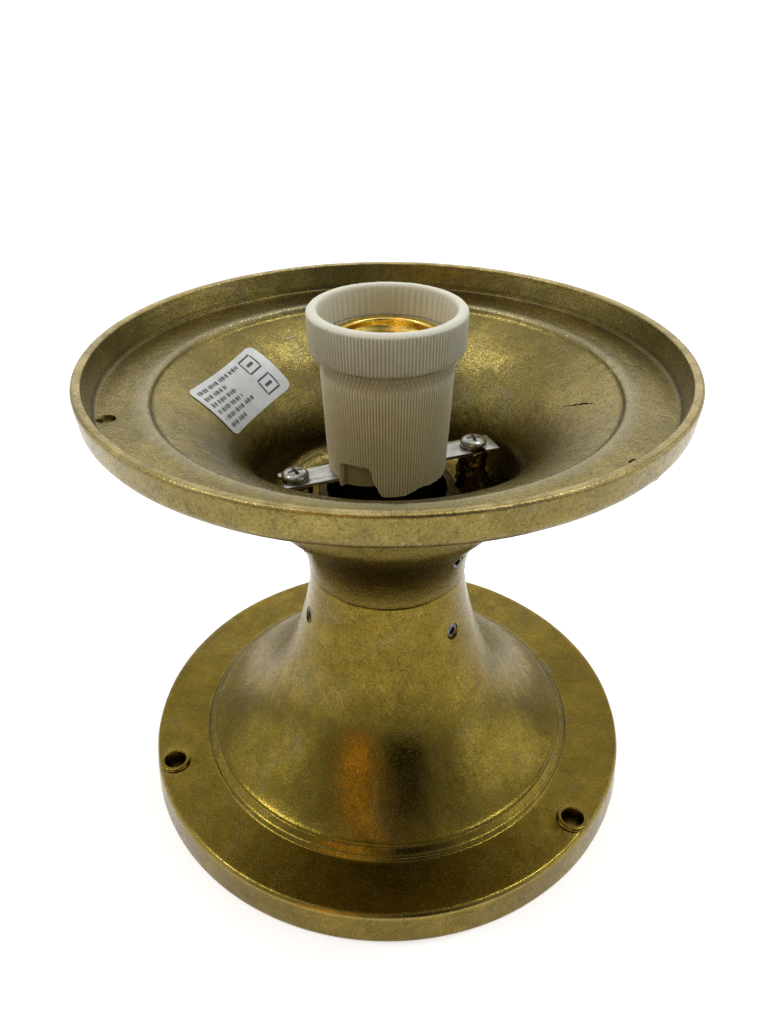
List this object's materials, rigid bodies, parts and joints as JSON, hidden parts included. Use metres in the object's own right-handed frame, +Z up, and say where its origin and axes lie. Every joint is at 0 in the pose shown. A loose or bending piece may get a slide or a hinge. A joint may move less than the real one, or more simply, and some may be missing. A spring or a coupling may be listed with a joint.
{
  "type": "ship lamp base",
  "caption": "Brass pillar base of a ship's lamp: round foot, waisted neck and open dish with a porcelain screw lampholder on a strap.",
  "frame": {"origin": "centre of the face that the foot stands on", "axes": "+Z up along the lamp's axis; +X to the right and +Y away from the front"},
  "size_m": [0.1594, 0.1594, 0.1528],
  "materials": {
    "aged_brass": "satin cast brass with brown patina",
    "tube_brass": "drawn brass tube, tarnished",
    "shell_brass": "bright rolled brass",
    "contact_bronze": "phosphor bronze strip",
    "dark_steel": "dark oiled steel",
    "zinc_plate": "bright zinc plate on steel",
    "screw_steel": "stainless steel",
    "porcelain": "unglazed steatite porcelain, beige",
    "label_foil": "silver-white satin label"
  },
  "bodies": {
    "foot": {"base_casting": "aged_brass", "neck_tube": "tube_brass", "earth_screw": "shell_brass", "earth_washer": "shell_brass"},
    "dish": {"dish_casting": "aged_brass", "rating_label": "label_foil", "upper_grub_screw_1": "dark_steel", "upper_grub_screw_2": "dark_steel", "upper_grub_screw_3": "dark_steel", "holder_bracket": "zinc_plate", "lampholder_body": "porcelain", "threaded_shell": "shell_brass", "contact_plate": "contact_bronze", "live_rivet": "shell_brass", "neutral_rivet": "shell_brass", "live_terminal": "shell_brass", "neutral_terminal": "shell_brass", "live_terminal_screw": "screw_steel", "neutral_terminal_screw": "screw_steel", "holder_screw_left": "screw_steel", "holder_screw_right": "screw_steel", "holder_nut_left": "screw_steel", "holder_nut_right": "screw_steel"},
    "contact_leaf": {"centre_contact": "contact_bronze"},
    "strap_screw_left": {"strap_screw_left": "screw_steel"},
    "strap_screw_right": {"strap_screw_right": "screw_steel"},
    "lower_grub_1": {"lower_grub_screw_1": "dark_steel"},
    "lower_grub_2": {"lower_grub_screw_2": "dark_steel"},
    "lower_grub_3": {"lower_grub_screw_3": "dark_steel"}
  },
  "joints": [
    {"name": "neck_swivel", "type": "hinge", "parent": "foot", "child": "dish", "pos_m": [0, 0, 0.0724], "axis": [0, 0, 1], "range_deg": [-180, 180]},
    {"name": "lower_grub_1_travel", "type": "slide", "parent": "foot", "child": "lower_grub_1", "axis": [0.766, -0.6428, 0], "range_m": [0, 0.003]},
    {"name": "lower_grub_2_travel", "type": "slide", "parent": "foot", "child": "lower_grub_2", "axis": [0.1736, 0.9848, 0], "range_m": [0, 0.003]},
    {"name": "lower_grub_3_travel", "type": "slide", "parent": "foot", "child": "lower_grub_3", "axis": [-0.9397, -0.342, 0], "range_m": [0, 0.003]},
    {"name": "strap_screw_left_travel", "type": "slide", "parent": "dish", "child": "strap_screw_left", "axis": [0, 0, 1], "range_m": [0, 0.006]},
    {"name": "strap_screw_right_travel", "type": "slide", "parent": "dish", "child": "strap_screw_right", "axis": [0, 0, 1], "range_m": [0, 0.006]},
    {"name": "centre_contact_flex", "type": "hinge", "parent": "dish", "child": "contact_leaf", "pos_m": [-0.00127, 0.00331, 0.118], "axis": [0.9336, 0.3584, 0], "range_deg": [0, 12], "stiffness_Nm_per_rad": 0.5, "springref_deg": -2.86}
  ]
}
